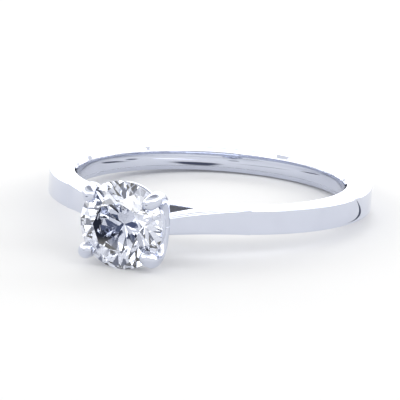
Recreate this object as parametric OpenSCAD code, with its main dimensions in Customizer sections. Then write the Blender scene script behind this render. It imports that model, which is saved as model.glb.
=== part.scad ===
// Solitaire engagement ring: a flat-sided hoop with cathedral shoulders, four round claws,
// an under-gallery ring and one round brilliant stone.
// The ring lies on its side. +Z is the finger axis, the origin is the middle of the finger
// hole, and the stone faces -Y. "Up" inside a head module is the stone's own axis.

/* [Hoop] */
// Inside diameter, the ring size
finger_d = 16.5; // [14:0.1:22]
// Thickness of the hoop, from the finger outwards
band_t = 1.7; // [1.5:0.05:2.4]
// Width of the hoop along the finger
band_w = 1.5; // [1.3:0.05:2.6]
// Straight part of the bore along the finger
bore_land = 1.0; // [0.6:0.05:1.2]
// How far the comfort edge opens the bore at each side
comfort = 0.17; // [0.1:0.01:0.3]
// Small flat that breaks the two outer edges
edge_break = 0.05; // [0.02:0.01:0.1]

/* [Bridge] */
// Thickness of the hoop under the head
bridge_t = 0.9; // [0.7:0.05:1.2]
// Length of the flat top of the bridge
bridge_len = 6.2; // [5:0.1:7]

/* [Shoulders] */
// Radius of the hollow sweep from the hoop up to the fork
sweep_r = 14.6; // [11:0.2:18]
// Thickness of a shoulder where it meets the fork
tip_t = 0.75; // [0.6:0.05:0.8]
// Lean of each side face of a shoulder, in degrees
side_lean = 5.2; // [2:0.2:7]

/* [Claws] */
// Height of the stone's girdle above the bore
head_h = 5.05; // [4.7:0.05:6]
// Thickness of a claw wire
claw_d = 0.9; // [0.8:0.05:1]
// Depth that the stone's girdle is let into each claw
claw_bite = 0.275; // [0.2:0.005:0.35]
// Direction of the claws around the stone, from the side, in degrees
claw_angle = 41; // [37:1:45]
// Outward lean of each pair of claws, in degrees
claw_lean = 4.5; // [0:0.5:8]
// Radius of the bend that turns each claw down into the fork
fork_turn_r = 1.25; // [1:0.05:1.4]
// How far that bend turns, in degrees
fork_turn = 78; // [70:1:84]
// Straight length of a claw above the girdle
claw_neck = 0.06; // [0.02:0.02:0.2]
// Radius of the bend over the crown
tip_turn_r = 0.5; // [0.48:0.02:0.6]
// How far the tip is folded over the crown, in degrees
tip_turn = 68; // [50:2:80]

/* [Gallery] */
// Wire of the ring under the girdle
gallery_d = 0.5; // [0.4:0.05:0.6]
// Depth of that ring below the girdle
gallery_drop = 0.8; // [0.6:0.05:1]

/* [Stone] */
// Diameter of the stone at the girdle
stone_d = 5.35; // [4.4:0.05:5.5]
// Width of the table as a share of the stone's diameter
table_share = 0.57; // [0.53:0.01:0.6]
// Lean of the main crown facets, in degrees
crown_angle = 34.5; // [33:0.5:36]
// Lean of the main pavilion facets, in degrees
pavilion_angle = 40.8; // [40:0.2:42]
// Thickness of the girdle
girdle_t = 0.12; // [0.08:0.01:0.2]

/* [Hidden] */

bore_r = finger_d / 2;
hoop_r = bore_r + band_t;
bridge_top = bore_r + bridge_t;
girdle_h = bore_r + head_h;
root = [bridge_len / 2, bridge_top];
reach_all = 3 * hoop_r;
slices = 180;

// Claws: where their middle lines cross the girdle, and where each pair meets in its fork.
stone_r = stone_d / 2;
claw_r = claw_d / 2;
claw_reach = stone_r + claw_r - claw_bite;
claw_x = claw_reach * cos(claw_angle);
claw_y = claw_reach * sin(claw_angle);
turn_mid_y = claw_y - fork_turn_r;
leg_end = [turn_mid_y + fork_turn_r * cos(fork_turn), -fork_turn_r * sin(fork_turn)];
fork_drop = leg_end[0] / tan(fork_turn) - leg_end[1];
fork = [claw_x - fork_drop * sin(claw_lean), girdle_h - fork_drop * cos(claw_lean)];

// Shoulders: the sweep is an arc that touches the hoop at the toe, and the middle of the
// shoulder's end lies on the middle of the fork.
fork_dir = atan2(fork[0], fork[1]);
mid_far = hoop_r + sweep_r;
fork_far = sweep_r + tip_t / 2;
toe_dir = fork_dir + acos((mid_far ^ 2 + norm(fork) ^ 2 - fork_far ^ 2) / (2 * mid_far * norm(fork)));
toe = hoop_r * [sin(toe_dir), cos(toe_dir)];
sweep_mid = mid_far * [sin(toe_dir), cos(toe_dir)];
tip_in = sweep_mid + (sweep_r + tip_t) * (fork - sweep_mid) / norm(fork - sweep_mid);
seat = toe - root;
seat_dir = atan2(seat[1], seat[0]);
past_toe = toe + seat / 2;

// Stone: radii and heights of its corners, measured from the middle of the girdle.
table_r = stone_r * table_share;
half_girdle = girdle_t / 2;
crown_h = (stone_r - table_r) * tan(crown_angle);
pavilion_h = stone_r * tan(pavilion_angle);
// A star corner lies on two neighbouring main crown facets, a little under half way out.
star_reach = 0.46;
star_top = table_r + star_reach * (stone_r - table_r);
star_r = star_top / cos(22.5);
star_h = half_girdle + crown_h * (1 - star_reach);
// A lower corner lies on two neighbouring pavilion mains, this far down towards the culet.
lower_reach = 0.78;
lower_r = stone_r * (1 - lower_reach) / cos(22.5);
lower_h = -half_girdle - pavilion_h * lower_reach;
// Widest outline of the stone at each height, which the claws are notched to.
seat_outline = [
    [0, -half_girdle - pavilion_h],
    [lower_r, lower_h],
    [stone_r, -half_girdle],
    [stone_r, half_girdle],
    [star_r, star_h],
    [table_r, half_girdle + crown_h],
    [0, half_girdle + crown_h]
];

gallery_r = gallery_d / 2;
// The gallery ring just clears the stone's pavilion.
gallery_clear = 0.04;
pavilion_at_ring = stone_r * (1 - (gallery_drop - half_girdle) / pavilion_h);
gallery_mid = pavilion_at_ring + (gallery_r + gallery_clear) / sin(pavilion_angle);

// Puts what is drawn around the stone's axis in its place on the ring.
module on_head() {
    rotate([90, 0, 0]) translate([0, 0, girdle_h]) children();
}

// Puts a flat outline of the ring's face in the ring's plane, with the head towards -Y.
module in_ring_plane(width) {
    mirror([0, 1, 0]) translate([0, 0, -width / 2]) linear_extrude(width) children();
}

// Everything above the bridge's flat top and the two sloping seats.
module head_pocket() {
    in_ring_plane(2 * band_w) polygon([
        [-root[0], bridge_top], root, past_toe,
        [past_toe[0], reach_all], [-past_toe[0], reach_all], [-past_toe[0], past_toe[1]]
    ]);
}

module shank() {
    half_w = band_w / 2;
    half_land = bore_land / 2;
    color("gainsboro") difference() {
        rotate_extrude($fn = slices) polygon([
            [bore_r, -half_land], [bore_r + comfort, -half_w],
            [hoop_r - edge_break, -half_w], [hoop_r, edge_break - half_w],
            [hoop_r, half_w - edge_break], [hoop_r - edge_break, half_w],
            [bore_r + comfort, half_w], [bore_r, half_land]
        ]);
        head_pocket();
    }
}

// A cutter whose face leans inwards from the seat line, above the hoop's flat side.
module side_cutter() {
    big = reach_all;
    translate([root[0], -root[1], band_w / 2])
        rotate([0, 0, -seat_dir])
            rotate([side_lean, 0, 0])
                translate([-big, -big, 0]) cube([2 * big, 2 * big, big]);
}

module shoulder_outline() {
    difference() {
        polygon([root, past_toe, sweep_mid, tip_in]);
        translate(sweep_mid) circle(sweep_r, $fn = 4 * slices);
    }
}

// The outline with its sides leaning in, coped round the fork of its two claws.
module shoulder_right() {
    color("gainsboro") difference() {
        in_ring_plane(band_w) shoulder_outline();
        side_cutter();
        mirror([0, 0, 1]) side_cutter();
        on_head() claw_wire();
        on_head() mirror([0, 1, 0]) claw_wire();
    }
}

module shoulder_left() {
    mirror([1, 0, 0]) shoulder_right();
}

// Part of a bent wire that starts at +X and turns towards +Y.
module bent_wire(turn_r, turn) {
    rotate_extrude(angle = turn, $fn = slices) translate([turn_r, 0]) circle(claw_r, $fn = 48);
}

// The bend below the girdle and the straight leg that runs on into the fork, drawn in the
// plane of the bend and then stood up. The bend's middle is at the origin.
module claw_leg() {
    leg_len = leg_end[0] / sin(fork_turn) + claw_r;
    rotate([0, -90, 0]) rotate([0, 0, 90]) {
        bent_wire(fork_turn_r, fork_turn);
        rotate([0, 0, fork_turn]) translate([fork_turn_r, 0, 0])
            rotate([-90, 0, 0]) cylinder(h = leg_len, r = claw_r, $fn = 48);
    }
}

// The neck above the girdle, the bend over the crown and its domed end.
module claw_tip() {
    cylinder(h = claw_neck, r = claw_r, $fn = 48);
    rotate([0, 0, claw_angle]) translate([-tip_turn_r, 0, claw_neck]) {
        rotate([90, 0, 0]) bent_wire(tip_turn_r, tip_turn);
        translate([tip_turn_r * cos(tip_turn), 0, tip_turn_r * sin(tip_turn)])
            rotate([0, -tip_turn, 0])
                intersection() {
                    sphere(claw_r, $fn = 48);
                    translate([-claw_r, -claw_r, 0]) cube([claw_d, claw_d, claw_r]);
                }
    }
}

module claw_wire() {
    translate([claw_x, turn_mid_y, 0]) rotate([0, claw_lean, 0]) {
        claw_leg();
        translate([0, fork_turn_r, 0]) claw_tip();
    }
}

module gallery_wire() {
    translate([0, 0, -gallery_drop])
        rotate_extrude($fn = slices) translate([gallery_mid, 0]) circle(gallery_r, $fn = 48);
}

module stone_seat() {
    rotate_extrude($fn = slices) polygon(seat_outline);
}

// One claw at +X, +Z: the wire, mitred at the fork, saddled on the gallery ring and
// notched for the stone.
module claw_top_right() {
    color("whitesmoke") difference() {
        on_head() claw_wire();
        on_head() gallery_wire();
        on_head() stone_seat();
        translate([-reach_all, -reach_all, -reach_all]) cube([2 * reach_all, 2 * reach_all, reach_all]);
    }
}

module claw_top_left() {
    mirror([1, 0, 0]) claw_top_right();
}

module claw_bottom_right() {
    mirror([0, 0, 1]) claw_top_right();
}

module claw_bottom_left() {
    mirror([1, 0, 0]) claw_bottom_right();
}

module gallery_ring() {
    color("silver") on_head() gallery_wire();
}

// Round brilliant: 8 mains, 8 stars and 16 upper facets above, 8 mains and 16 lower below.
module diamond() {
    top = half_girdle + crown_h;
    table = [for (i = [0:7]) [table_r * cos(45 * i), table_r * sin(45 * i), top]];
    star = [for (i = [0:7]) [star_r * cos(45 * i + 22.5), star_r * sin(45 * i + 22.5), star_h]];
    rim = [for (i = [0:15]) [stone_r * cos(22.5 * i), stone_r * sin(22.5 * i), half_girdle]];
    base = [for (p = rim) [p[0], p[1], -half_girdle]];
    lower = [for (i = [0:7]) [lower_r * cos(45 * i + 22.5), lower_r * sin(45 * i + 22.5), lower_h]];
    culet = [[0, 0, -half_girdle - pavilion_h]];
    points = concat(table, star, rim, base, lower, culet);
    t = 0;
    s = 8;
    g = 16;
    b = 32;
    w = 48;
    c = 56;
    faces = concat(
        [[for (i = [7:-1:0]) t + i]],
        [for (i = [0:7]) [t + i, t + (i + 1) % 8, s + i]],
        [for (i = [0:7]) [t + i, s + i, g + 2 * i]],
        [for (i = [0:7]) [t + i, g + 2 * i, s + (i + 7) % 8]],
        [for (i = [0:7]) [s + i, g + 2 * i + 1, g + 2 * i]],
        [for (i = [0:7]) [s + i, g + (2 * i + 2) % 16, g + 2 * i + 1]],
        [for (i = [0:15]) [g + i, g + (i + 1) % 16, b + (i + 1) % 16, b + i]],
        [for (i = [0:7]) [w + i, b + 2 * i, b + 2 * i + 1]],
        [for (i = [0:7]) [w + i, b + 2 * i + 1, b + (2 * i + 2) % 16]],
        [for (i = [0:7]) [c, b + 2 * i, w + i]],
        [for (i = [0:7]) [c, w + i, b + (2 * i + 2) % 16]]
    );
    color("lightcyan") on_head() polyhedron(points, faces, convexity = 4);
}

shank();
shoulder_left();
shoulder_right();
claw_top_left();
claw_top_right();
claw_bottom_left();
claw_bottom_right();
gallery_ring();
diamond();
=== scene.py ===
"""Solitaire engagement ring: polished metal surfaces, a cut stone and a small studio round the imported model.

Every size is in millimetres in the ring's own frame and becomes metres when a mesh is written.
The finger runs along +Z, the stone faces -Y, and the origin is the middle of the finger hole.
"""
import logging
import math
from dataclasses import dataclass, field
from enum import Enum
from typing import Sequence

import bmesh
import bpy
import numpy as np
from mathutils import Matrix, Vector


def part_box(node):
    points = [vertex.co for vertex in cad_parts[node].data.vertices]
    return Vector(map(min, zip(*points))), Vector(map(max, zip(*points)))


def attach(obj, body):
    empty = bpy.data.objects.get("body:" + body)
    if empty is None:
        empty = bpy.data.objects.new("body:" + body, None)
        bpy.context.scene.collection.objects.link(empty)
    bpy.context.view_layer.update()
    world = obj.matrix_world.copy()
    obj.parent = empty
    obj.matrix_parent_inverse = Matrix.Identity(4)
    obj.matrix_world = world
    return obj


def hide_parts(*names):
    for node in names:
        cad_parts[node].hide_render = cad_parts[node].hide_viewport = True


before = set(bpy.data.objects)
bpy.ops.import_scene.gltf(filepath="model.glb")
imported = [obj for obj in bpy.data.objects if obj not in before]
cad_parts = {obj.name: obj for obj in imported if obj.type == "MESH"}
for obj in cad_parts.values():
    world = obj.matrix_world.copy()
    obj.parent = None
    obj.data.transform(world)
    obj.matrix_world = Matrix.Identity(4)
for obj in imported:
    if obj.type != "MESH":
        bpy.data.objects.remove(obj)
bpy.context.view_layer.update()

log = logging.getLogger("ring")
MM = 0.001
BODY = "root"
Array = np.ndarray


class Slot(Enum):
    """The record's material slots."""

    METAL = "white_gold"
    STONE = "diamond"


class Side(Enum):
    """Which side of the stone's axis a piece lies on, as the sign of X."""

    LEFT = -1
    RIGHT = 1


class Level(Enum):
    """Which side of the ring's middle plane a claw lies on, as the sign of Z."""

    TOP = 1
    BOTTOM = -1


# ---------------------------------------------------------------- sizes


@dataclass(frozen=True)
class RingSizes:
    """The ring's driving sizes, in millimetres and degrees, and what follows from them."""

    bore_r: float = 8.25
    band_t: float = 1.7
    band_w: float = 1.5
    bore_land: float = 1.0
    comfort: float = 0.17
    bridge_t: float = 0.9
    bridge_len: float = 6.2
    sweep_r: float = 14.6
    tip_t: float = 0.75
    side_lean: float = 5.2
    head_h: float = 5.05
    claw_d: float = 0.9
    claw_bite: float = 0.275
    claw_angle: float = 41.0
    claw_lean: float = 4.5
    fork_turn_r: float = 1.25
    fork_turn: float = 78.0
    claw_neck: float = 0.06
    tip_turn_r: float = 0.5
    tip_turn: float = 68.0
    gallery_d: float = 0.5
    gallery_drop: float = 0.8
    gallery_clear: float = 0.04
    stone_d: float = 5.35
    table_share: float = 0.57
    crown_angle: float = 34.5
    pavilion_angle: float = 40.8
    girdle_t: float = 0.12
    star_reach: float = 0.46
    lower_reach: float = 0.78

    @property
    def hoop_r(self) -> float:
        """Outer radius of the hoop."""
        return self.bore_r + self.band_t

    @property
    def half_w(self) -> float:
        """Half the hoop's width along the finger."""
        return self.band_w / 2

    @property
    def girdle_h(self) -> float:
        """Distance of the stone's girdle from the finger axis."""
        return self.bore_r + self.head_h

    @property
    def root(self) -> Array:
        """Corner where bridge and shoulder meet, as (across, up towards the stone)."""
        return np.array([self.bridge_len / 2, self.bore_r + self.bridge_t])

    @property
    def stone_r(self) -> float:
        """Radius of the stone at its girdle."""
        return self.stone_d / 2

    @property
    def claw_r(self) -> float:
        """Radius of the claw wire."""
        return self.claw_d / 2

    @property
    def claw_at(self) -> Array:
        """Where a claw's middle line crosses the girdle, as (across, along the finger)."""
        reach = self.stone_r + self.claw_r - self.claw_bite
        turn = math.radians(self.claw_angle)
        return reach * np.array([math.cos(turn), math.sin(turn)])

    @property
    def fork_drop(self) -> float:
        """Depth of the fork's middle below the girdle, along the leaning claw."""
        turn = math.radians(self.fork_turn)
        end_y = self.claw_at[1] - self.fork_turn_r * (1 - math.cos(turn))
        return end_y / math.tan(turn) + self.fork_turn_r * math.sin(turn)

    @property
    def fork(self) -> Array:
        """Middle of the fork, as (across, up towards the stone)."""
        lean = math.radians(self.claw_lean)
        drop = self.fork_drop
        return np.array([self.claw_at[0] - drop * math.sin(lean), self.girdle_h - drop * math.cos(lean)])

    @property
    def toe_turn(self) -> float:
        """Direction of the shoulder's toe from the stone's axis, in radians."""
        far = self.hoop_r + self.sweep_r
        near = self.sweep_r + self.tip_t / 2
        out = float(np.linalg.norm(self.fork))
        lean = math.atan2(self.fork[0], self.fork[1])
        return lean + math.acos((far**2 + out**2 - near**2) / (2 * far * out))

    @property
    def toe(self) -> Array:
        """Where the sweep leaves the hoop, as (across, up)."""
        return self.hoop_r * np.array([math.sin(self.toe_turn), math.cos(self.toe_turn)])

    @property
    def sweep_mid(self) -> Array:
        """Middle of the hollow sweep, as (across, up)."""
        far = self.hoop_r + self.sweep_r
        return far * np.array([math.sin(self.toe_turn), math.cos(self.toe_turn)])


SIZES = RingSizes()


@dataclass(frozen=True)
class StoneShape:
    """Corners of the round brilliant in its own frame, with heights from the girdle's middle."""

    sizes: RingSizes = SIZES

    @property
    def half_girdle(self) -> float:
        """Half the girdle's thickness."""
        return self.sizes.girdle_t / 2

    @property
    def table_r(self) -> float:
        """Radius of the table's corners."""
        return self.sizes.stone_r * self.sizes.table_share

    @property
    def crown_h(self) -> float:
        """Height of the table above the girdle's upper edge."""
        return (self.sizes.stone_r - self.table_r) * math.tan(math.radians(self.sizes.crown_angle))

    @property
    def pavilion_h(self) -> float:
        """Depth of the point below the girdle's lower edge."""
        return self.sizes.stone_r * math.tan(math.radians(self.sizes.pavilion_angle))

    @property
    def star(self) -> tuple[float, float]:
        """Radius and height of the corners between star and upper facets."""
        out = self.table_r + self.sizes.star_reach * (self.sizes.stone_r - self.table_r)
        up = self.half_girdle + self.crown_h * (1 - self.sizes.star_reach)
        return out / math.cos(math.pi / 8), up

    @property
    def lower(self) -> tuple[float, float]:
        """Radius and height of the corners where the lower facets meet the mains."""
        out = self.sizes.stone_r * (1 - self.sizes.lower_reach) / math.cos(math.pi / 8)
        return out, -self.half_girdle - self.pavilion_h * self.sizes.lower_reach

    def outline(self) -> Array:
        """Widest half outline of the stone, as (radius, height) from the point up to the table.

        Returns:
            Array of shape (7, 2).
        """
        top = self.half_girdle + self.crown_h
        return np.array([
            (0.0, -self.half_girdle - self.pavilion_h),
            self.lower,
            (self.sizes.stone_r, -self.half_girdle),
            (self.sizes.stone_r, self.half_girdle),
            self.star,
            (self.table_r, top),
            (0.0, top),
        ])


# ---------------------------------------------------------------- mesh helpers


def on_head(points: Array) -> Array:
    """Carries points from the stone's frame to the ring's: (x, y, z) goes to (x, -(girdle + z), y).

    Args:
        points: Array (..., 3) with x across, y along the finger and z up the stone's axis.

    Returns:
        Array of the same shape in the ring's frame.
    """
    x, y, z = points[..., 0], points[..., 1], points[..., 2]
    return np.stack([x, -(SIZES.girdle_h + z), y], axis=-1)


def rounded_loops(corners: Array, radii: Array, steps: int = 8, hold: float = 0.012) -> Array:
    """Rounds the corners of many closed outlines at once.

    Each corner C gives way to the parabola (1-u)^2 A + 2(1-u)u C + u^2 B, which touches both of
    its sides at A and B, one radius from C. A further point a little outside A and B keeps the
    shading of the flat sides flat.

    Args:
        corners: Array (outlines, corners, 3).
        radii: Distance of A and B from each corner, shape (outlines, corners).
        steps: Spans along each rounded corner.
        hold: Distance of the holding points beyond A and B.

    Returns:
        Array (outlines, points, 3), in the order of the corners.
    """
    before = np.roll(corners, 1, axis=1) - corners
    after = np.roll(corners, -1, axis=1) - corners
    before /= np.linalg.norm(before, axis=-1, keepdims=True)
    after /= np.linalg.norm(after, axis=-1, keepdims=True)
    reach = radii[..., None]
    start = (corners + before * reach)[:, :, None]
    end = (corners + after * reach)[:, :, None]
    u = np.linspace(0, 1, steps + 1)[None, None, :, None]
    arc = (1 - u) ** 2 * start + 2 * (1 - u) * u * corners[:, :, None] + u**2 * end
    first = (corners + before * (reach + hold))[:, :, None]
    last = (corners + after * (reach + hold))[:, :, None]
    ring = np.concatenate([first, arc, last], axis=2)
    return ring.reshape(len(corners), -1, 3)


def grid_faces(rows: int, cols: int, wrap_rows: bool, wrap_cols: bool) -> Array:
    """Quads of a grid of points, row by row.

    Args:
        rows: Number of rows.
        cols: Number of points in a row.
        wrap_rows: Joins the last row to the first.
        wrap_cols: Joins the end of each row to its start.

    Returns:
        Array (quads, 4) of point numbers.
    """
    i = np.arange(rows if wrap_rows else rows - 1)
    j = np.arange(cols if wrap_cols else cols - 1)
    ii, jj = np.meshgrid(i, j, indexing="ij")
    down, along = (ii + 1) % rows, (jj + 1) % cols
    quads = np.stack([ii * cols + jj, ii * cols + along, down * cols + along, down * cols + jj], axis=-1)
    return quads.reshape(-1, 4)


def add_to_scene(name: str, data: bpy.types.ID) -> bpy.types.Object:
    """Makes an object of a mesh, lamp or camera and links it to the scene."""
    obj = bpy.data.objects.new(name, data)
    bpy.context.scene.collection.objects.link(obj)
    return obj


def make_object(name: str, points: Array, faces: list[list[int]]) -> bpy.types.Object:
    """Writes points in millimetres into a new smooth mesh object at the origin, faces outwards.

    Args:
        name: Name of the object.
        points: Array (n, 3).
        faces: Lists of point numbers.

    Returns:
        The new object, linked to the scene.
    """
    mesh = bpy.data.meshes.new(name)
    mesh.from_pydata((points * MM).tolist(), [], faces)
    bm = bmesh.new()
    bm.from_mesh(mesh)
    bmesh.ops.remove_doubles(bm, verts=bm.verts, dist=1e-4 * MM)
    bmesh.ops.recalc_face_normals(bm, faces=bm.faces)
    bm.to_mesh(mesh)
    bm.free()
    mesh.polygons.foreach_set("use_smooth", [True] * len(mesh.polygons))
    mesh.update()
    return add_to_scene(name, mesh)


def tube_frames(path: Array) -> tuple[Array, Array]:
    """Two square directions at each point of a path.

    The first is the cross product of the path's direction and a fixed level direction that no
    path of the ring follows; the second is the cross product of the path's direction and the first.

    Args:
        path: Array (n, 3).

    Returns:
        Two arrays (n, 3), each square to the path and to the other.
    """
    ahead = np.gradient(path, axis=0)
    ahead /= np.linalg.norm(ahead, axis=1, keepdims=True)
    turn = math.radians(SIZES.claw_angle)
    across = np.cross(ahead, [math.sin(turn), -math.cos(turn), 0.0])
    across /= np.linalg.norm(across, axis=1, keepdims=True)
    return across, np.cross(ahead, across)


# ---------------------------------------------------------------- finishes


def new_material(name: str) -> tuple[bpy.types.Material, bpy.types.NodeTree, bpy.types.Node]:
    """A new material with its node tree and its Principled shader."""
    mat = bpy.data.materials.new(name)
    mat.use_nodes = True
    return mat, mat.node_tree, mat.node_tree.nodes["Principled BSDF"]


class NodeGroups:
    """Shader groups that more than one finish uses, each built once."""

    @staticmethod
    def masked_noise(
        tree: bpy.types.ShaderNodeTree, place: bpy.types.NodeSocket,
        detail: float, roughness: float, low: float, high: float,
    ) -> tuple[bpy.types.Node, bpy.types.NodeSocket]:
        """Noise of which only the peaks count: 0 up to the low value, 1 from the high value.

        Args:
            tree: The group to add to.
            place: Where the noise is read.
            detail: Its detail.
            roughness: Its roughness.
            low: Value that becomes 0.
            high: Value that becomes 1.

        Returns:
            The noise node and the mask's socket.
        """
        noise = tree.nodes.new("ShaderNodeTexNoise")
        noise.inputs["Detail"].default_value = detail
        noise.inputs["Roughness"].default_value = roughness
        tree.links.new(place, noise.inputs["Vector"])
        mask = tree.nodes.new("ShaderNodeMapRange")
        mask.inputs["From Min"].default_value = low
        mask.inputs["From Max"].default_value = high
        tree.links.new(noise.outputs["Fac"], mask.inputs["Value"])
        return noise, mask.outputs["Result"]

    @staticmethod
    def handling_marks() -> bpy.types.ShaderNodeTree:
        """Fine wear on a mirror polish: hairline scratches, faint haze and their relief.

        Returns:
            A group that puts out a colour, a roughness and a height.
        """
        made = bpy.data.node_groups.get("handling_marks")
        if made:
            return made
        group = bpy.data.node_groups.new("handling_marks", "ShaderNodeTree")
        for name, kind in (("Colour", "NodeSocketColor"), ("Hazed Colour", "NodeSocketColor"),
                           ("Roughness", "NodeSocketFloat"), ("Haze", "NodeSocketFloat"),
                           ("Scratch Scale", "NodeSocketFloat")):
            group.interface.new_socket(name, in_out="INPUT", socket_type=kind)
        for name, kind in (("Colour", "NodeSocketColor"), ("Roughness", "NodeSocketFloat"),
                           ("Height", "NodeSocketFloat")):
            group.interface.new_socket(name, in_out="OUTPUT", socket_type=kind)
        add, join = group.nodes.new, group.links.new
        source = add("NodeGroupInput")
        result = add("NodeGroupOutput")
        place = add("ShaderNodeTexCoord")
        stretch = add("ShaderNodeMapping")
        stretch.inputs["Scale"].default_value = (1.0, 1.0, 0.12)
        stretch.inputs["Rotation"].default_value = (0.5, 0.9, 0.3)
        join(place.outputs["Object"], stretch.inputs["Vector"])
        hair, hair_mask = NodeGroups.masked_noise(group, stretch.outputs["Vector"], 3.0, 0.55, 0.60, 0.72)
        join(source.outputs["Scratch Scale"], hair.inputs["Scale"])
        cloud, cloud_mask = NodeGroups.masked_noise(group, place.outputs["Object"], 2.0, 0.5, 0.45, 0.75)
        cloud.inputs["Scale"].default_value = 420.0
        both = add("ShaderNodeMath")
        both.operation = "MAXIMUM"
        join(hair_mask, both.inputs[0])
        join(cloud_mask, both.inputs[1])
        rough = add("ShaderNodeMath")
        rough.operation = "MULTIPLY_ADD"
        join(both.outputs["Value"], rough.inputs[0])
        join(source.outputs["Haze"], rough.inputs[1])
        join(source.outputs["Roughness"], rough.inputs[2])
        tint = add("ShaderNodeMix")
        tint.data_type = "RGBA"
        join(cloud_mask, tint.inputs["Factor"])
        join(source.outputs["Colour"], tint.inputs["A"])
        join(source.outputs["Hazed Colour"], tint.inputs["B"])
        join(tint.outputs["Result"], result.inputs["Colour"])
        join(rough.outputs["Value"], result.inputs["Roughness"])
        join(hair_mask, result.inputs["Height"])
        return group


@dataclass(frozen=True)
class MetalFinish:
    """Mirror-polished white gold with the faint haze of handling."""

    name: str
    colour: tuple[float, float, float] = (0.64, 0.67, 0.77)
    hazed: tuple[float, float, float] = (0.61, 0.64, 0.74)
    roughness: float = 0.035
    haze: float = 0.03
    scratch_scale: float = 5200.0
    relief: float = 0.02
    relief_depth: float = 0.002

    def material(self) -> bpy.types.Material:
        """Builds the material.

        Returns:
            The material.
        """
        mat, tree, shader = new_material(self.name)
        shader.inputs["Metallic"].default_value = 1.0
        marks = tree.nodes.new("ShaderNodeGroup")
        marks.node_tree = NodeGroups.handling_marks()
        marks.inputs["Colour"].default_value = (*self.colour, 1.0)
        marks.inputs["Hazed Colour"].default_value = (*self.hazed, 1.0)
        marks.inputs["Roughness"].default_value = self.roughness
        marks.inputs["Haze"].default_value = self.haze
        marks.inputs["Scratch Scale"].default_value = self.scratch_scale
        bump = tree.nodes.new("ShaderNodeBump")
        bump.inputs["Strength"].default_value = self.relief
        bump.inputs["Distance"].default_value = self.relief_depth * MM
        tree.links.new(marks.outputs["Colour"], shader.inputs["Base Color"])
        tree.links.new(marks.outputs["Roughness"], shader.inputs["Roughness"])
        tree.links.new(marks.outputs["Height"], bump.inputs["Height"])
        tree.links.new(bump.outputs["Normal"], shader.inputs["Normal"])
        return mat


@dataclass(frozen=True)
class StoneFinish:
    """Clear cut stone, or the fine-ground band round its girdle."""

    name: str
    colour: tuple[float, float, float] = (0.80, 0.84, 0.97)
    roughness: float = 0.0
    haze: float = 0.004
    scratch_scale: float = 3000.0
    refraction: float = 2.417

    def material(self) -> bpy.types.Material:
        """Builds the material, with a trace of polishing haze in its roughness.

        Returns:
            The material.
        """
        mat, tree, shader = new_material(self.name)
        shader.inputs["Transmission Weight"].default_value = 1.0
        shader.inputs["IOR"].default_value = self.refraction
        shader.inputs["Base Color"].default_value = (*self.colour, 1.0)
        marks = tree.nodes.new("ShaderNodeGroup")
        marks.node_tree = NodeGroups.handling_marks()
        marks.inputs["Roughness"].default_value = self.roughness
        marks.inputs["Haze"].default_value = self.haze
        marks.inputs["Scratch Scale"].default_value = self.scratch_scale
        tree.links.new(marks.outputs["Roughness"], shader.inputs["Roughness"])
        return mat


@dataclass
class Finishes:
    """The ring's finishes, built once."""

    metal: bpy.types.Material = field(default_factory=lambda: MetalFinish("polished_white_gold").material())
    # painted shade: a near-black base colour for the bridge's top under the head, where shade falls, together
    # with a rougher finish
    shaded_recess: bpy.types.Material = field(default_factory=lambda: MetalFinish(
        "rough_recess_painted_shade", colour=(0.25, 0.25, 0.27), hazed=(0.20, 0.20, 0.21), roughness=0.38, haze=0.15,
        scratch_scale=2500.0, relief=0.2).material())
    wire: bpy.types.Material = field(default_factory=lambda: MetalFinish(
        "polished_claw_wire", roughness=0.03, scratch_scale=7000.0).material())
    facets: bpy.types.Material = field(default_factory=lambda: StoneFinish("cut_stone").material())
    girdle: bpy.types.Material = field(
        default_factory=lambda: StoneFinish("ground_girdle", roughness=0.35, haze=0.15).material())


def hand_over(obj: bpy.types.Object, node: str) -> None:
    """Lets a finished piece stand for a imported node.

    Args:
        obj: The piece.
        node: The node it replaces.
    """
    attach(obj, BODY)
    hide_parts(node)
    log.info("%s: %d faces", obj.name, len(obj.data.polygons))


# ---------------------------------------------------------------- hoop and shoulders


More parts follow.
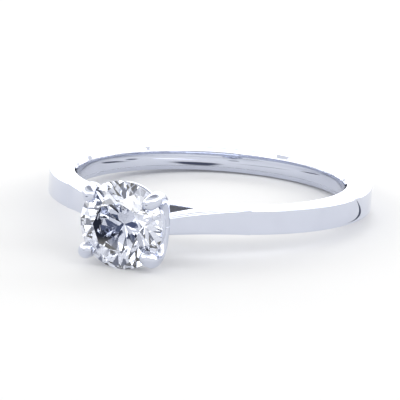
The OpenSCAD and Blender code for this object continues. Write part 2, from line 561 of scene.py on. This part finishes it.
@dataclass
class Shank:
    """The hoop, with its comfort edges and the flat bridge under the head."""

    finish: bpy.types.Material
    shaded_recess: bpy.types.Material
    sizes: RingSizes = SIZES
    slices: int = 720
    edge_round: float = 0.10
    comfort_round: float = 0.05
    crown: float = 0.03
    crown_share: float = 0.9
    trim: float = 0.006

    def outer_radius(self, turn: Array) -> Array:
        """Radius of the hoop's outside in each direction from the stone's axis.

        Over the bridge it is the bridge's height over the cosine of the turn, over a seat it is
        where the ray meets the straight line from root to toe, and elsewhere the hoop's radius.

        Args:
            turn: Angles from the stone's axis, in radians, positive.

        Returns:
            The radii.
        """
        s = self.sizes
        seat = s.toe - s.root
        square = np.array([-seat[1], seat[0]])
        ray = np.stack([np.sin(turn), np.cos(turn)], axis=-1)
        on_seat = s.root.dot(square) / np.clip(ray @ square, 1e-6, None)
        on_bridge = s.root[1] / np.clip(np.cos(turn), 0.2, None)
        root_turn = math.atan2(s.root[0], s.root[1])
        out = np.where(turn < root_turn, on_bridge, on_seat)
        return np.minimum(np.where(turn < s.toe_turn, out, s.hoop_r), s.hoop_r - self.trim)

    def turns(self) -> Array:
        """Directions of the hoop's sections, with the bridge's and seats' ends among them.

        Returns:
            Angles from -pi up to pi, in radians.
        """
        s = self.sizes
        ends = np.array([math.atan2(s.root[0], s.root[1]), s.toe_turn])
        base = np.linspace(-math.pi, math.pi, self.slices, endpoint=False)
        near = np.abs(base[:, None] - np.concatenate([-ends, ends])).min(axis=1)
        kept = base[near > 0.3 * math.pi / self.slices]
        return np.sort(np.concatenate([kept, -ends, ends]))

    def build(self) -> bpy.types.Object:
        """Carries the section round the finger axis, its bore crowned from edge to edge.

        Returns:
            The finished piece.
        """
        s = self.sizes
        turn = self.turns()
        outer = self.outer_radius(np.abs(turn))
        inner = np.full_like(turn, s.bore_r)
        edge = inner + s.comfort
        land = s.bore_land / 2
        rim, belly = inner + self.crown, inner - self.crown
        radius = np.stack([rim, edge, outer, outer, edge, rim, belly], axis=1)
        level = np.broadcast_to([land, s.half_w, s.half_w, -s.half_w, -s.half_w, -land, 0.0], radius.shape)
        across, up = radius * np.sin(turn)[:, None], radius * np.cos(turn)[:, None]
        corners = np.stack([across, -up, level], axis=-1)
        small, wide = self.comfort_round, self.edge_round
        crowned = self.crown_share * land
        radii = np.broadcast_to([small, small, wide, wide, small, small, crowned], radius.shape)
        loops = rounded_loops(corners, radii)
        faces = grid_faces(loops.shape[0], loops.shape[1], True, True)
        obj = make_object("shank_polished", loops.reshape(-1, 3), faces.tolist())
        for finish in (self.finish, self.shaded_recess):
            obj.data.materials.append(finish)
        # painted shade on the bridge's top under the head
        self.paint_shade_on_bridge(obj.data)
        hand_over(obj, "shank")
        return obj

    def paint_shade_on_bridge(self, mesh: bpy.types.Mesh) -> None:
        """Gives the flat top of the bridge, under the head, a rougher finish with painted shade in its colour:
        its faces look straight at the stone.

        Args:
            mesh: The hoop's mesh.
        """
        count = len(mesh.polygons)
        middle, way = np.empty(3 * count), np.empty(3 * count)
        mesh.polygons.foreach_get("center", middle)
        mesh.polygons.foreach_get("normal", way)
        middle, way = middle.reshape(-1, 3) / MM, way.reshape(-1, 3)
        faces_stone = way[:, 1] < -0.999
        on_bridge = (np.abs(middle[:, 0]) < self.sizes.root[0]) & (middle[:, 1] < -self.sizes.bore_r)
        flat = faces_stone & on_bridge
        mesh.polygons.foreach_set("material_index", flat.astype(np.int32))


@dataclass
class Shoulder:
    """A cathedral shoulder: the arch that rises from the hoop to a fork of two claws."""

    side: Side
    finish: bpy.types.Material
    sizes: RingSizes = SIZES
    stations: int = 90
    toe_round: float = 0.10
    tip_round: float = 0.14
    inner_round: float = 0.03
    outer_share: float = 0.4
    inner_share: float = 0.3
    depth_limit: float = 9.0

    def sections(self) -> Array:
        """Corners of the shoulder's sections, each square to the sweep.

        A section starts on the sweep arc and runs straight in until it meets the seat line or
        the straight inner edge. Its half width falls from the hoop's by the tangent of the lean
        for each millimetre above the seat line.

        Returns:
            Array (stations, 4, 3) in the ring's frame.
        """
        s = self.sizes
        inward_toe = (s.toe - s.sweep_mid) / s.sweep_r
        inward_tip = (s.fork - s.sweep_mid) / np.linalg.norm(s.fork - s.sweep_mid)
        first = math.atan2(inward_toe[1], inward_toe[0])
        last = math.atan2(inward_tip[1], inward_tip[0])
        turn = np.linspace(first, last, self.stations)
        inward = np.stack([np.cos(turn), np.sin(turn)], axis=-1)
        outer = s.sweep_mid + s.sweep_r * inward
        tip_in = s.sweep_mid + (s.sweep_r + s.tip_t) * inward_tip
        seat_way = s.toe - s.root
        seat_way /= np.linalg.norm(seat_way)
        seat_up = np.array([-seat_way[1], seat_way[0]])
        edge_way = tip_in - s.root
        edge_way /= np.linalg.norm(edge_way)
        edge_out = np.array([edge_way[1], -edge_way[0]])
        to_seat = (outer - s.root) @ seat_up / np.clip(-inward @ seat_up, 1e-6, None)
        to_edge = (outer - s.root) @ edge_out / np.clip(-inward @ edge_out, 1e-6, None)
        to_edge = np.where(to_edge > 0, to_edge, self.depth_limit)
        depth = np.clip(np.minimum(to_seat, to_edge), 1e-3, None)
        inner = outer + depth[:, None] * inward
        drop = math.tan(math.radians(s.side_lean))
        half_out = s.half_w - drop * np.clip((outer - s.root) @ seat_up, 0, None)
        half_in = s.half_w - drop * np.clip((inner - s.root) @ seat_up, 0, None)
        across = np.stack([inner[:, 0], outer[:, 0], outer[:, 0], inner[:, 0]], axis=1) * self.side.value
        up = np.stack([inner[:, 1], outer[:, 1], outer[:, 1], inner[:, 1]], axis=1)
        level = np.stack([half_in, half_out, -half_out, -half_in], axis=1)
        return np.stack([across, -up, level], axis=-1)

    def build(self) -> bpy.types.Object:
        """Joins the sections into a closed arch.

        Returns:
            The finished piece.
        """
        corners = self.sections()
        depth = np.linalg.norm(corners[:, 1] - corners[:, 0], axis=-1)
        share = np.linspace(0, 1, self.stations)
        wanted = self.toe_round + (self.tip_round - self.toe_round) * share
        outer = np.minimum(wanted, self.outer_share * depth)
        inner = np.minimum(self.inner_round, self.inner_share * depth)
        radii = np.stack([inner, outer, outer, inner], axis=1)
        loops = rounded_loops(corners, radii, hold=0.0)
        rows, cols = loops.shape[:2]
        faces = grid_faces(rows, cols, False, True).tolist()
        faces += [list(range(cols)), list(range((rows - 1) * cols, rows * cols))]
        name = f"shoulder_{self.side.name.lower()}"
        obj = make_object(name + "_polished", loops.reshape(-1, 3), faces)
        obj.data.materials.append(self.finish)
        hand_over(obj, name)
        return obj


# ---------------------------------------------------------------- head


@dataclass
class Claw:
    """A claw: round wire from its fork up past the girdle, with its tip folded over the crown."""

    side: Side
    level: Level
    finish: bpy.types.Material
    sizes: RingSizes = SIZES
    sides: int = 72
    pitch: float = 0.045
    dome_rows: int = 13
    seat_gap: float = 0.004
    trim: float = 0.001

    def middle_line(self) -> Array:
        """The wire's middle line: straight leg, wide bend, neck and tight bend over the crown.

        The leg and both bends are arcs and lines that run into each other, in the stone's frame.

        Returns:
            Array (n, 3).
        """
        s = self.sizes
        big, turn = s.fork_turn_r, math.radians(s.fork_turn)
        mid_y = s.claw_at[1] - big
        end_y, end_z = mid_y + big * math.cos(turn), -big * math.sin(turn)
        leg_len = end_y / math.sin(turn) + s.claw_r
        back = np.arange(leg_len, 0, -self.pitch)
        leg = np.stack([0 * back, end_y - back * math.sin(turn), end_z - back * math.cos(turn)], axis=-1)
        bend_at = np.linspace(turn, 0, int(turn * big / self.pitch))
        bend = np.stack([0 * bend_at, mid_y + big * np.cos(bend_at), -big * np.sin(bend_at)], axis=-1)
        small, fold = s.tip_turn_r, math.radians(s.tip_turn)
        fold_at = np.linspace(0, fold, int(fold * small / self.pitch * 2))
        inward = -small * (1 - np.cos(fold_at))
        way = math.radians(s.claw_angle)
        tip = np.stack([
            inward * math.cos(way),
            s.claw_at[1] + inward * math.sin(way),
            s.claw_neck + small * np.sin(fold_at),
        ], axis=-1)
        line = np.concatenate([leg, bend[:-1], np.array([[0.0, s.claw_at[1], 0.0]]), tip])
        lean = math.radians(s.claw_lean)
        x = line[:, 0] * math.cos(lean) + line[:, 2] * math.sin(lean) + s.claw_at[0]
        z = -line[:, 0] * math.sin(lean) + line[:, 2] * math.cos(lean)
        return np.stack([x, line[:, 1], z], axis=-1)

    def press_out_of_stone(self, points: Array) -> Array:
        """Seats the wire: a point inside the stone's round outline moves to the nearest point of it.

        Args:
            points: Array (n, 3) in the stone's frame.

        Returns:
            Array (n, 3).
        """
        corners = StoneShape(self.sizes).outline()
        out = np.hypot(points[:, 0], points[:, 1])
        flat = np.stack([out, points[:, 2]], axis=-1)
        start, span = corners[:-1], np.diff(corners, axis=0)
        square = np.stack([span[:, 1], -span[:, 0]], axis=-1)
        square /= np.linalg.norm(square, axis=1, keepdims=True)
        reach = (flat[:, None] - start[None]) * square[None]
        reach = reach.sum(axis=-1)
        inside = (reach < self.seat_gap).all(axis=1)
        step = (self.seat_gap - reach)[:, 1:5]
        nearest = step.argmin(axis=1)
        rows = np.arange(len(points))
        moved = flat + step[rows, nearest][:, None] * square[1:5][nearest]
        flat = np.where(inside[:, None], moved, flat)
        grow = flat[:, 0] / np.maximum(out, 1e-9)
        return np.stack([points[:, 0] * grow, points[:, 1] * grow, flat[:, 1]], axis=-1)

    def build(self) -> bpy.types.Object:
        """Sweeps a circle along the middle line, domes its tip and seats it on its neighbours.

        Returns:
            The finished piece.
        """
        s = self.sizes
        line = self.middle_line()
        ahead = line[-1] - line[-2]
        ahead /= np.linalg.norm(ahead)
        dome = np.linspace(0, math.pi / 2, self.dome_rows + 1)[1:]
        wire_r = s.claw_r - self.trim
        line_all = np.concatenate([line, line[-1] + wire_r * np.sin(dome)[:, None] * ahead])
        across, over = tube_frames(line_all)
        radius = np.concatenate([np.full(len(line), wire_r), wire_r * np.cos(dome)])
        around = np.linspace(0, 2 * math.pi, self.sides, endpoint=False)
        cos, sin = np.cos(around)[None, :, None], np.sin(around)[None, :, None]
        ring = cos * across[:, None] + sin * over[:, None]
        points = (line_all[:, None] + radius[:, None, None] * ring).reshape(-1, 3)
        points[:, 1] = np.maximum(points[:, 1], 0.0)
        points = self.press_out_of_stone(points)
        points = points * np.array([self.side.value, self.level.value, 1])
        rows, cols = len(line_all), self.sides
        faces = grid_faces(rows, cols, False, True).tolist()
        faces += [list(range(cols)), list(range((rows - 1) * cols, rows * cols))]
        name = f"claw_{self.level.name.lower()}_{self.side.name.lower()}"
        obj = make_object(name + "_polished", on_head(points), faces)
        obj.data.materials.append(self.finish)
        hand_over(obj, name)
        return obj


@dataclass
class GalleryRing:
    """The wire ring under the girdle that ties the claws together."""

    finish: bpy.types.Material
    sizes: RingSizes = SIZES
    slices: int = 160
    sides: int = 32

    def build(self) -> bpy.types.Object:
        """Turns a circle round the stone's axis.

        Returns:
            The finished piece.
        """
        s = self.sizes
        stone = StoneShape(s)
        wire_r = s.gallery_d / 2
        lean = math.radians(s.pavilion_angle)
        beside = s.stone_r * (1 - (s.gallery_drop - stone.half_girdle) / stone.pavilion_h)
        middle = beside + (wire_r + s.gallery_clear) / math.sin(lean)
        turn = np.linspace(0, 2 * math.pi, self.slices, endpoint=False)[:, None]
        around = np.linspace(0, 2 * math.pi, self.sides, endpoint=False)[None]
        out = middle + wire_r * np.cos(around) + 0 * turn
        up = wire_r * np.sin(around) - s.gallery_drop + 0 * turn
        points = np.stack([out * np.cos(turn), out * np.sin(turn), up], axis=-1)
        faces = grid_faces(self.slices, self.sides, True, True)
        obj = make_object("gallery_ring_polished", on_head(points.reshape(-1, 3)), faces.tolist())
        obj.data.materials.append(self.finish)
        hand_over(obj, "gallery_ring")
        return obj


@dataclass
class Brilliant:
    """The stone: a round brilliant ground from a cylinder, one flat facet after another."""

    facets: bpy.types.Material
    girdle: bpy.types.Material
    sizes: RingSizes = SIZES
    rim_sides: int = 128
    blank_depth: float = 8.0

    def planes(self) -> list[tuple[Vector, Vector]]:
        """Point and outward direction of each facet's plane, in the stone's frame.

        Returns:
            One pair for the table, 8 stars, 8 mains, 16 uppers, 8 pavilion mains and 16 lowers.
        """
        s, shape = self.sizes, StoneShape(self.sizes)
        top = shape.half_girdle + shape.crown_h
        point = Vector((0, 0, -shape.half_girdle - shape.pavilion_h))
        star_r, star_h = shape.star
        lower_r, lower_h = shape.lower

        def at(radius: float, height: float, eighths: float) -> Vector:
            """A point at a radius, a height and a turn counted in eighths of a circle."""
            turn = eighths * math.pi / 4
            return Vector((radius * math.cos(turn), radius * math.sin(turn), height))

        def through(a: Vector, b: Vector, c: Vector) -> tuple[Vector, Vector]:
            """The plane through three points, facing away from the stone's middle."""
            way = (b - a).cross(c - a).normalized()
            return (a, way if way.dot(a) > 0 else -way)

        made = [(Vector((0, 0, top)), Vector((0, 0, 1)))]
        for i in range(8):
            table_a, table_b = at(shape.table_r, top, i), at(shape.table_r, top, i + 1)
            star = at(star_r, star_h, i + 0.5)
            low = at(lower_r, lower_h, i + 0.5)
            made.append(through(table_a, table_b, star))
            made.append(through(table_a, star, at(star_r, star_h, i - 0.5)))
            made.append(through(point, low, at(lower_r, lower_h, i - 0.5)))
            for a, b in ((i, i + 0.5), (i + 0.5, i + 1)):
                rim = shape.half_girdle
                made.append(through(star, at(s.stone_r, rim, a), at(s.stone_r, rim, b)))
                made.append(through(low, at(s.stone_r, -rim, a), at(s.stone_r, -rim, b)))
        return made

    def build(self) -> bpy.types.Object:
        """Cuts the cylinder with every plane and closes each cut with its facet.

        Returns:
            The finished piece.
        """
        bm = bmesh.new()
        bmesh.ops.create_cone(bm, cap_ends=True, segments=self.rim_sides, radius1=self.sizes.stone_r,
                              radius2=self.sizes.stone_r, depth=self.blank_depth)
        ground = bm.faces.layers.int.new("ground")
        for face in bm.faces:
            face[ground] = 1
        for point, way in self.planes():
            everything = bm.verts[:] + bm.edges[:] + bm.faces[:]
            cut = bmesh.ops.bisect_plane(bm, geom=everything, dist=1e-6, plane_co=point, plane_no=way,
                                         clear_outer=True)
            rim = [e for e in cut["geom_cut"] if isinstance(e, bmesh.types.BMEdge)]
            for face in bmesh.ops.contextual_create(bm, geom=rim)["faces"]:
                face[ground] = 0
        bmesh.ops.dissolve_degenerate(bm, dist=1e-5, edges=bm.edges[:])
        bmesh.ops.recalc_face_normals(bm, faces=bm.faces[:])
        to_ring = Matrix(((1, 0, 0, 0), (0, 0, -1, -self.sizes.girdle_h), (0, 1, 0, 0), (0, 0, 0, 1)))
        bm.transform(Matrix.Scale(MM, 4) @ to_ring)
        for face in bm.faces:
            face.smooth = bool(face[ground])
            face.material_index = face[ground]
        mesh = bpy.data.meshes.new("diamond_cut")
        bm.to_mesh(mesh)
        bm.free()
        obj = add_to_scene("diamond_cut", mesh)
        for finish in (self.facets, self.girdle):
            obj.data.materials.append(finish)
        hand_over(obj, "diamond")
        return obj


# ---------------------------------------------------------------- studio


@dataclass(frozen=True)
class Card:
    """An oval card that glows evenly and thins out to nothing over its soft rim.

    Lengths are in metres, and spin is in degrees round the line from the card to what it faces.
    """

    name: str
    middle: Vector
    faces: Vector
    half_width: float
    half_height: float
    colour: tuple[float, float, float]
    soft: float = 0.15
    spin: float = 0.0
    bend: float = 0.0
    in_metal: bool = True
    rows: int = 41

    def material(self) -> bpy.types.Material:
        """An even glow that thins out to nothing over the soft rim.

        Returns:
            The material.
        """
        mat, tree, _ = new_material(self.name)
        glow = tree.nodes.new("ShaderNodeEmission")
        glow.inputs["Color"].default_value = (*self.colour, 1)
        clear = tree.nodes.new("ShaderNodeBsdfTransparent")
        fade = tree.nodes.new("ShaderNodeAttribute")
        fade.attribute_name = "fade"
        rim = tree.nodes.new("ShaderNodeMapRange")
        rim.interpolation_type = "SMOOTHSTEP"
        rim.inputs["From Max"].default_value = self.soft
        mix = tree.nodes.new("ShaderNodeMixShader")
        tree.links.new(fade.outputs["Fac"], rim.inputs["Value"])
        tree.links.new(rim.outputs["Result"], mix.inputs["Fac"])
        tree.links.new(clear.outputs["BSDF"], mix.inputs[1])
        tree.links.new(glow.outputs["Emission"], mix.inputs[2])
        tree.links.new(mix.outputs["Shader"], tree.nodes["Material Output"].inputs["Surface"])
        return mat


@dataclass(frozen=True)
class FloorCard:
    """A small card that lies just over the floor, with its place and half sizes in millimetres.

    Its place is given along the floor: to the right, and away from the stone's side.
    """

    name: str
    place: tuple[float, float]
    half_size: tuple[float, float]
    colour: tuple[float, float, float]
    spin: float = 0.0
    bend: float = 0.0


@dataclass(frozen=True)
class SoftBox:
    """A lamp: its place over the floor and its size in metres, and its power in watts."""

    name: str
    place: tuple[float, float, float]
    size: tuple[float, float]
    watts: float


NAVY, SLATE, DUSK, INK = (0.10, 0.12, 0.20), (0.20, 0.22, 0.27), (0.10, 0.11, 0.15), (0.03, 0.03, 0.04)

FLOOR_CARDS = (
    FloorCard("head_card", (-9.0, -32.0), (9.0, 11.0), NAVY),
    # painted shadow: a dark strip lying where the ring's own shadow edge falls on the floor, which the band's
    # outer face mirrors as a dark line
    FloorCard("side_shadow_strip", (13.82, 3.64), (0.28, 3.3), DUSK, spin=-19.2, bend=-2.35),
    # painted shade in the bore: dark patches on the floor inside the hoop, seen only in the inner wall's
    # reflection
    FloorCard("bore_card_a", (-2.8, 5.6), (0.9, 1.0), DUSK),
    FloorCard("bore_card_b", (-0.6, 4.9), (1.2, 0.45), SLATE),
    FloorCard("bore_card_c", (-1.4, 0.6), (0.35, 1.4), SLATE),
    # painted highlight in the bore: a patch brighter than white, seen only in the inner wall's reflection
    FloorCard("bore_gleam", (-0.6, 3.4), (0.9, 0.6), (1.6, 1.6, 1.7)),
)

SOFT_BOXES = (
    SoftBox("back_box", (-0.21, 0.51, 0.105), (1.10, 0.19), 1.15),
    SoftBox("rear_box", (-0.10, 0.40, 0.330), (0.95, 0.24), 1.45),
    SoftBox("front_box", (0.126, -0.302, 0.340), (0.80, 0.16), 0.56),
    SoftBox("left_box", (-0.336, -0.177, 0.205), (0.60, 0.16), 0.44),
    SoftBox("right_box", (0.362, 0.116, 0.205), (0.60, 0.16), 0.44),
    SoftBox("front_left_box", (-0.131, -0.335, 0.290), (0.30, 0.20), 0.26),
    SoftBox("front_right_box", (0.331, -0.142, 0.290), (0.30, 0.20), 0.26),
    SoftBox("far_left_box", (-0.420, 0.084, 0.140), (0.25, 0.18), 0.20),
    SoftBox("far_right_box", (0.295, 0.313, 0.160), (0.25, 0.18), 0.20),
)


@dataclass
class Studio:
    """Plain pale floor, soft lights, dark cards and the camera."""

    sizes: RingSizes = SIZES
    floor_size: float = 1.6
    floor_colour: tuple[float, float, float] = (0.93, 0.93, 0.93)
    floor_glow: float = 0.08
    surround: float = 0.34
    card_lift: float = 0.03
    floor_card_soft: float = 0.4
    distance: float = 0.3501
    azimuth: float = 22.73
    elevation: float = 12.25
    roll: float = 3.40
    lens: float = 517.6
    target: tuple[float, float, float] = (1.0, -3.9, 0.0)

    def rest_slope(self) -> tuple[float, Vector]:
        """How the ring lies on its side: on the back of its hoop and the stone's girdle.

        Returns:
            The floor's slope in radians and a point of it in metres.
        """
        hoop_low, hoop_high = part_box("shank")
        stone_low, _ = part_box("diamond")
        girdle_y = -self.sizes.girdle_h * MM
        slope = math.atan2(hoop_low[2] - stone_low[2], hoop_high[1] - girdle_y)
        return slope, Vector((0.0, hoop_high[1], hoop_low[2]))

    def to_floor(self, across: float, back: float, up: float) -> Vector:
        """A point given over the floor, in metres: to the right, away and up.

        Args:
            across: Distance along +X.
            back: Distance along the floor, away from the stone's side.
            up: Height over the floor.

        Returns:
            The point in the ring's frame.
        """
        slope, contact = self.rest_slope()
        start = contact - Vector((0, contact.y, contact.y * math.tan(slope)))
        return start + Matrix.Rotation(slope, 3, "X") @ Vector((across, back, up))

    def floor(self) -> None:
        """Lays the floor. It looks white to camera, mirror and clear rays, and keeps the shadow."""
        slope, contact = self.rest_slope()
        half = self.floor_size / 2
        mesh = bpy.data.meshes.new("floor")
        turn = Matrix.Rotation(slope, 4, "X")
        corners = [turn @ Vector((x * half, y * half, 0)) for x, y in ((-1, -1), (1, -1), (1, 1), (-1, 1))]
        mesh.from_pydata([tuple(c + contact) for c in corners], [], [(0, 1, 2, 3)])
        obj = add_to_scene("floor", mesh)
        mat, tree, shader = new_material("pale_floor")
        shader.inputs["Base Color"].default_value = (*self.floor_colour, 1.0)
        shader.inputs["Roughness"].default_value = 0.9
        shader.inputs["Specular IOR Level"].default_value = 0.0
        glow = tree.nodes.new("ShaderNodeEmission")
        glow.inputs["Color"].default_value = (1, 1, 1, 1)
        seen = seen_directly(tree)
        share = tree.nodes.new("ShaderNodeMath")
        share.operation = "MULTIPLY"
        share.inputs[1].default_value = self.floor_glow
        mix = tree.nodes.new("ShaderNodeMixShader")
        tree.links.new(seen, share.inputs[0])
        tree.links.new(share.outputs["Value"], mix.inputs["Fac"])
        tree.links.new(shader.outputs["BSDF"], mix.inputs[1])
        tree.links.new(glow.outputs["Emission"], mix.inputs[2])
        tree.links.new(mix.outputs["Shader"], tree.nodes["Material Output"].inputs["Surface"])
        obj.data.materials.append(mat)

    def hang(self, card: Card) -> None:
        """Hangs a card, which shows only in mirrors and clear stones and fades out at its rim.

        Row s of the card, for s from -1 to 1, runs from rim to rim at the height s times the half
        height: its middle lies bend times (1 - s^2) aside, and its rims lie the half width times
        the root of (1 - s^2) to each side. "fade" is 1 - |s| in the middle and 0 on the rims.

        Args:
            card: The card.
        """
        s = np.sin(np.linspace(-math.pi / 2, math.pi / 2, card.rows))
        open_share = np.sqrt(np.clip(1 - s**2, 0, 1))
        aside = card.bend * (1 - s**2)
        reach = card.half_width * open_share
        across = np.stack([aside - reach, aside, aside + reach], axis=1)
        flat = np.stack([across, np.repeat(card.half_height * s[:, None], 3, axis=1), 0 * across], axis=-1)
        middle = Vector(card.middle)
        aim = (Vector(card.faces) - middle).to_track_quat("Z", "Y").to_matrix()
        aim = aim @ Matrix.Rotation(math.radians(card.spin), 3, "Z")
        points = flat.reshape(-1, 3) @ np.array(aim).T + np.array(middle)
        mesh = bpy.data.meshes.new(card.name)
        mesh.from_pydata(points.tolist(), [], grid_faces(card.rows, 3, False, False).tolist())
        fade = mesh.attributes.new("fade", "FLOAT", "POINT")
        share = np.stack([0 * s, 1 - np.abs(s), 0 * s], axis=1).astype(np.float32)
        fade.data.foreach_set("value", share.ravel())
        obj = add_to_scene(card.name, mesh)
        obj.data.materials.append(card.material())
        obj.visible_camera = False
        obj.visible_diffuse = False
        obj.visible_shadow = False
        obj.visible_glossy = card.in_metal

    def lamp(self, box: SoftBox) -> None:
        """Hangs a soft box that faces the ring.

        Args:
            box: The soft box.
        """
        data = bpy.data.lights.new(box.name, "AREA")
        data.shape = "RECTANGLE"
        data.size, data.size_y = box.size
        data.energy = box.watts
        middle = self.to_floor(*box.place)
        aim = (-middle).to_track_quat("-Z", "Y").to_matrix().to_4x4()
        obj = add_to_scene(box.name, data)
        obj.matrix_world = Matrix.Translation(middle) @ aim
        obj.visible_camera = False

    def world(self) -> None:
        """A plain white surround, which camera, mirror and clear rays see at full white."""
        world = bpy.data.worlds.new("studio")
        world.use_nodes = True
        bpy.context.scene.world = world
        tree = world.node_tree
        base = tree.nodes["Background"]
        base.inputs["Color"].default_value = (1.0, 1.0, 1.0, 1)
        base.inputs["Strength"].default_value = self.surround
        white = tree.nodes.new("ShaderNodeBackground")
        white.inputs["Color"].default_value = (1, 1, 1, 1)
        mix = tree.nodes.new("ShaderNodeMixShader")
        tree.links.new(seen_directly(tree), mix.inputs["Fac"])
        tree.links.new(base.outputs["Background"], mix.inputs[1])
        tree.links.new(white.outputs["Background"], mix.inputs[2])
        tree.links.new(mix.outputs["Shader"], tree.nodes["World Output"].inputs["Surface"])

    def camera(self) -> None:
        """Places the camera by its azimuth, elevation and roll round the target."""
        data = bpy.data.cameras.new("camera")
        data.lens = self.lens
        data.sensor_width = 36.0
        data.clip_start, data.clip_end = 0.01, 10.0
        az, el = math.radians(self.azimuth), math.radians(self.elevation)
        away = Vector((math.sin(az) * math.cos(el), -math.cos(az) * math.cos(el), math.sin(el)))
        place = Vector(self.target) * MM + away * self.distance
        level = away.to_track_quat("Z", "Y").to_matrix()
        turned = level @ Matrix.Rotation(math.radians(self.roll), 3, "Z")
        obj = add_to_scene("camera", data)
        obj.matrix_world = Matrix.Translation(place) @ turned.to_4x4()
        bpy.context.scene.camera = obj

    def build(self) -> None:
        """Sets up the whole studio."""
        self.camera()
        self.floor()
        self.world()
        bpy.context.scene.view_settings.view_transform = "Standard"
        for box in SOFT_BOXES:
            self.lamp(box)
        for card in self.cards():
            self.hang(card)

    def cards(self) -> list[Card]:
        """Cards that give the polish and the stone something to mirror.

        Returns:
            The screens round the stone, then the cards on the floor.
        """
        head = Vector((0, -self.sizes.girdle_h * MM, 0))
        camera = bpy.context.scene.camera.matrix_world.translation
        up = Matrix.Rotation(self.rest_slope()[0], 3, "X") @ Vector((0, 0, 1))
        left, right, top = (-0.19, -0.16, 0.15), (0.24, -0.10, 0.15), (0.02, -0.07, 0.28)
        made = [
            Card("lens_card", camera * 1.02, head, 0.07, 0.07, (0.01, 0.01, 0.012), in_metal=False),
            Card("front_screen", camera * 1.10, head, 0.25, 0.20, (0.10, 0.12, 0.18), in_metal=False),
            Card("ceiling", self.to_floor(0.0, 0.10, 0.44), head, 0.30, 0.17, (0.45, 0.46, 0.50)),
            Card("left_flag", self.to_floor(*left), head, 0.016, 0.07, INK, in_metal=False),
            Card("right_flag", self.to_floor(*right), head, 0.016, 0.07, INK, in_metal=False),
            Card("top_flag", self.to_floor(*top), head, 0.07, 0.018, INK, in_metal=False),
        ]
        for flat in FLOOR_CARDS:
            across, back = flat.place
            wide, high = flat.half_size
            middle = self.to_floor(across * MM, back * MM, self.card_lift * MM)
            made.append(Card(flat.name, middle, middle + up, wide * MM, high * MM, flat.colour,
                             self.floor_card_soft, flat.spin, flat.bend * MM))
        return made


def seen_directly(tree: bpy.types.NodeTree) -> bpy.types.NodeSocket:
    """One for rays that show the background itself: from the camera, off mirrors and through glass.

    Args:
        tree: The node tree to add to.

    Returns:
        A socket that is 1 for those rays and 0 for the rest.
    """
    path = tree.nodes.new("ShaderNodeLightPath")
    some = tree.nodes.new("ShaderNodeMath")
    some.operation = "MAXIMUM"
    every = tree.nodes.new("ShaderNodeMath")
    every.operation = "MAXIMUM"
    tree.links.new(path.outputs["Is Camera Ray"], some.inputs[0])
    tree.links.new(path.outputs["Is Glossy Ray"], some.inputs[1])
    tree.links.new(some.outputs["Value"], every.inputs[0])
    tree.links.new(path.outputs["Is Transmission Ray"], every.inputs[1])
    return every.outputs["Value"]


# ---------------------------------------------------------------- assembly


def build_ring(finishes: Finishes) -> Sequence[bpy.types.Object]:
    """Builds every piece of the ring in order.

    Args:
        finishes: The materials.

    Returns:
        The pieces.
    """
    pieces = [Shank(finishes.metal, finishes.shaded_recess).build()]
    pieces += [Shoulder(side, finishes.metal).build() for side in Side]
    pieces += [Claw(side, level, finishes.wire).build() for level in Level for side in Side]
    pieces.append(GalleryRing(finishes.wire).build())
    pieces.append(Brilliant(finishes.facets, finishes.girdle).build())
    return pieces


def main() -> None:
    """Builds the ring and its studio and reports the pieces."""
    logging.basicConfig(level=logging.INFO, format="%(name)s: %(message)s")
    pieces = build_ring(Finishes())
    Studio().build()
    log.info("%d pieces", len(pieces))


if __name__ == "__main__":
    main()
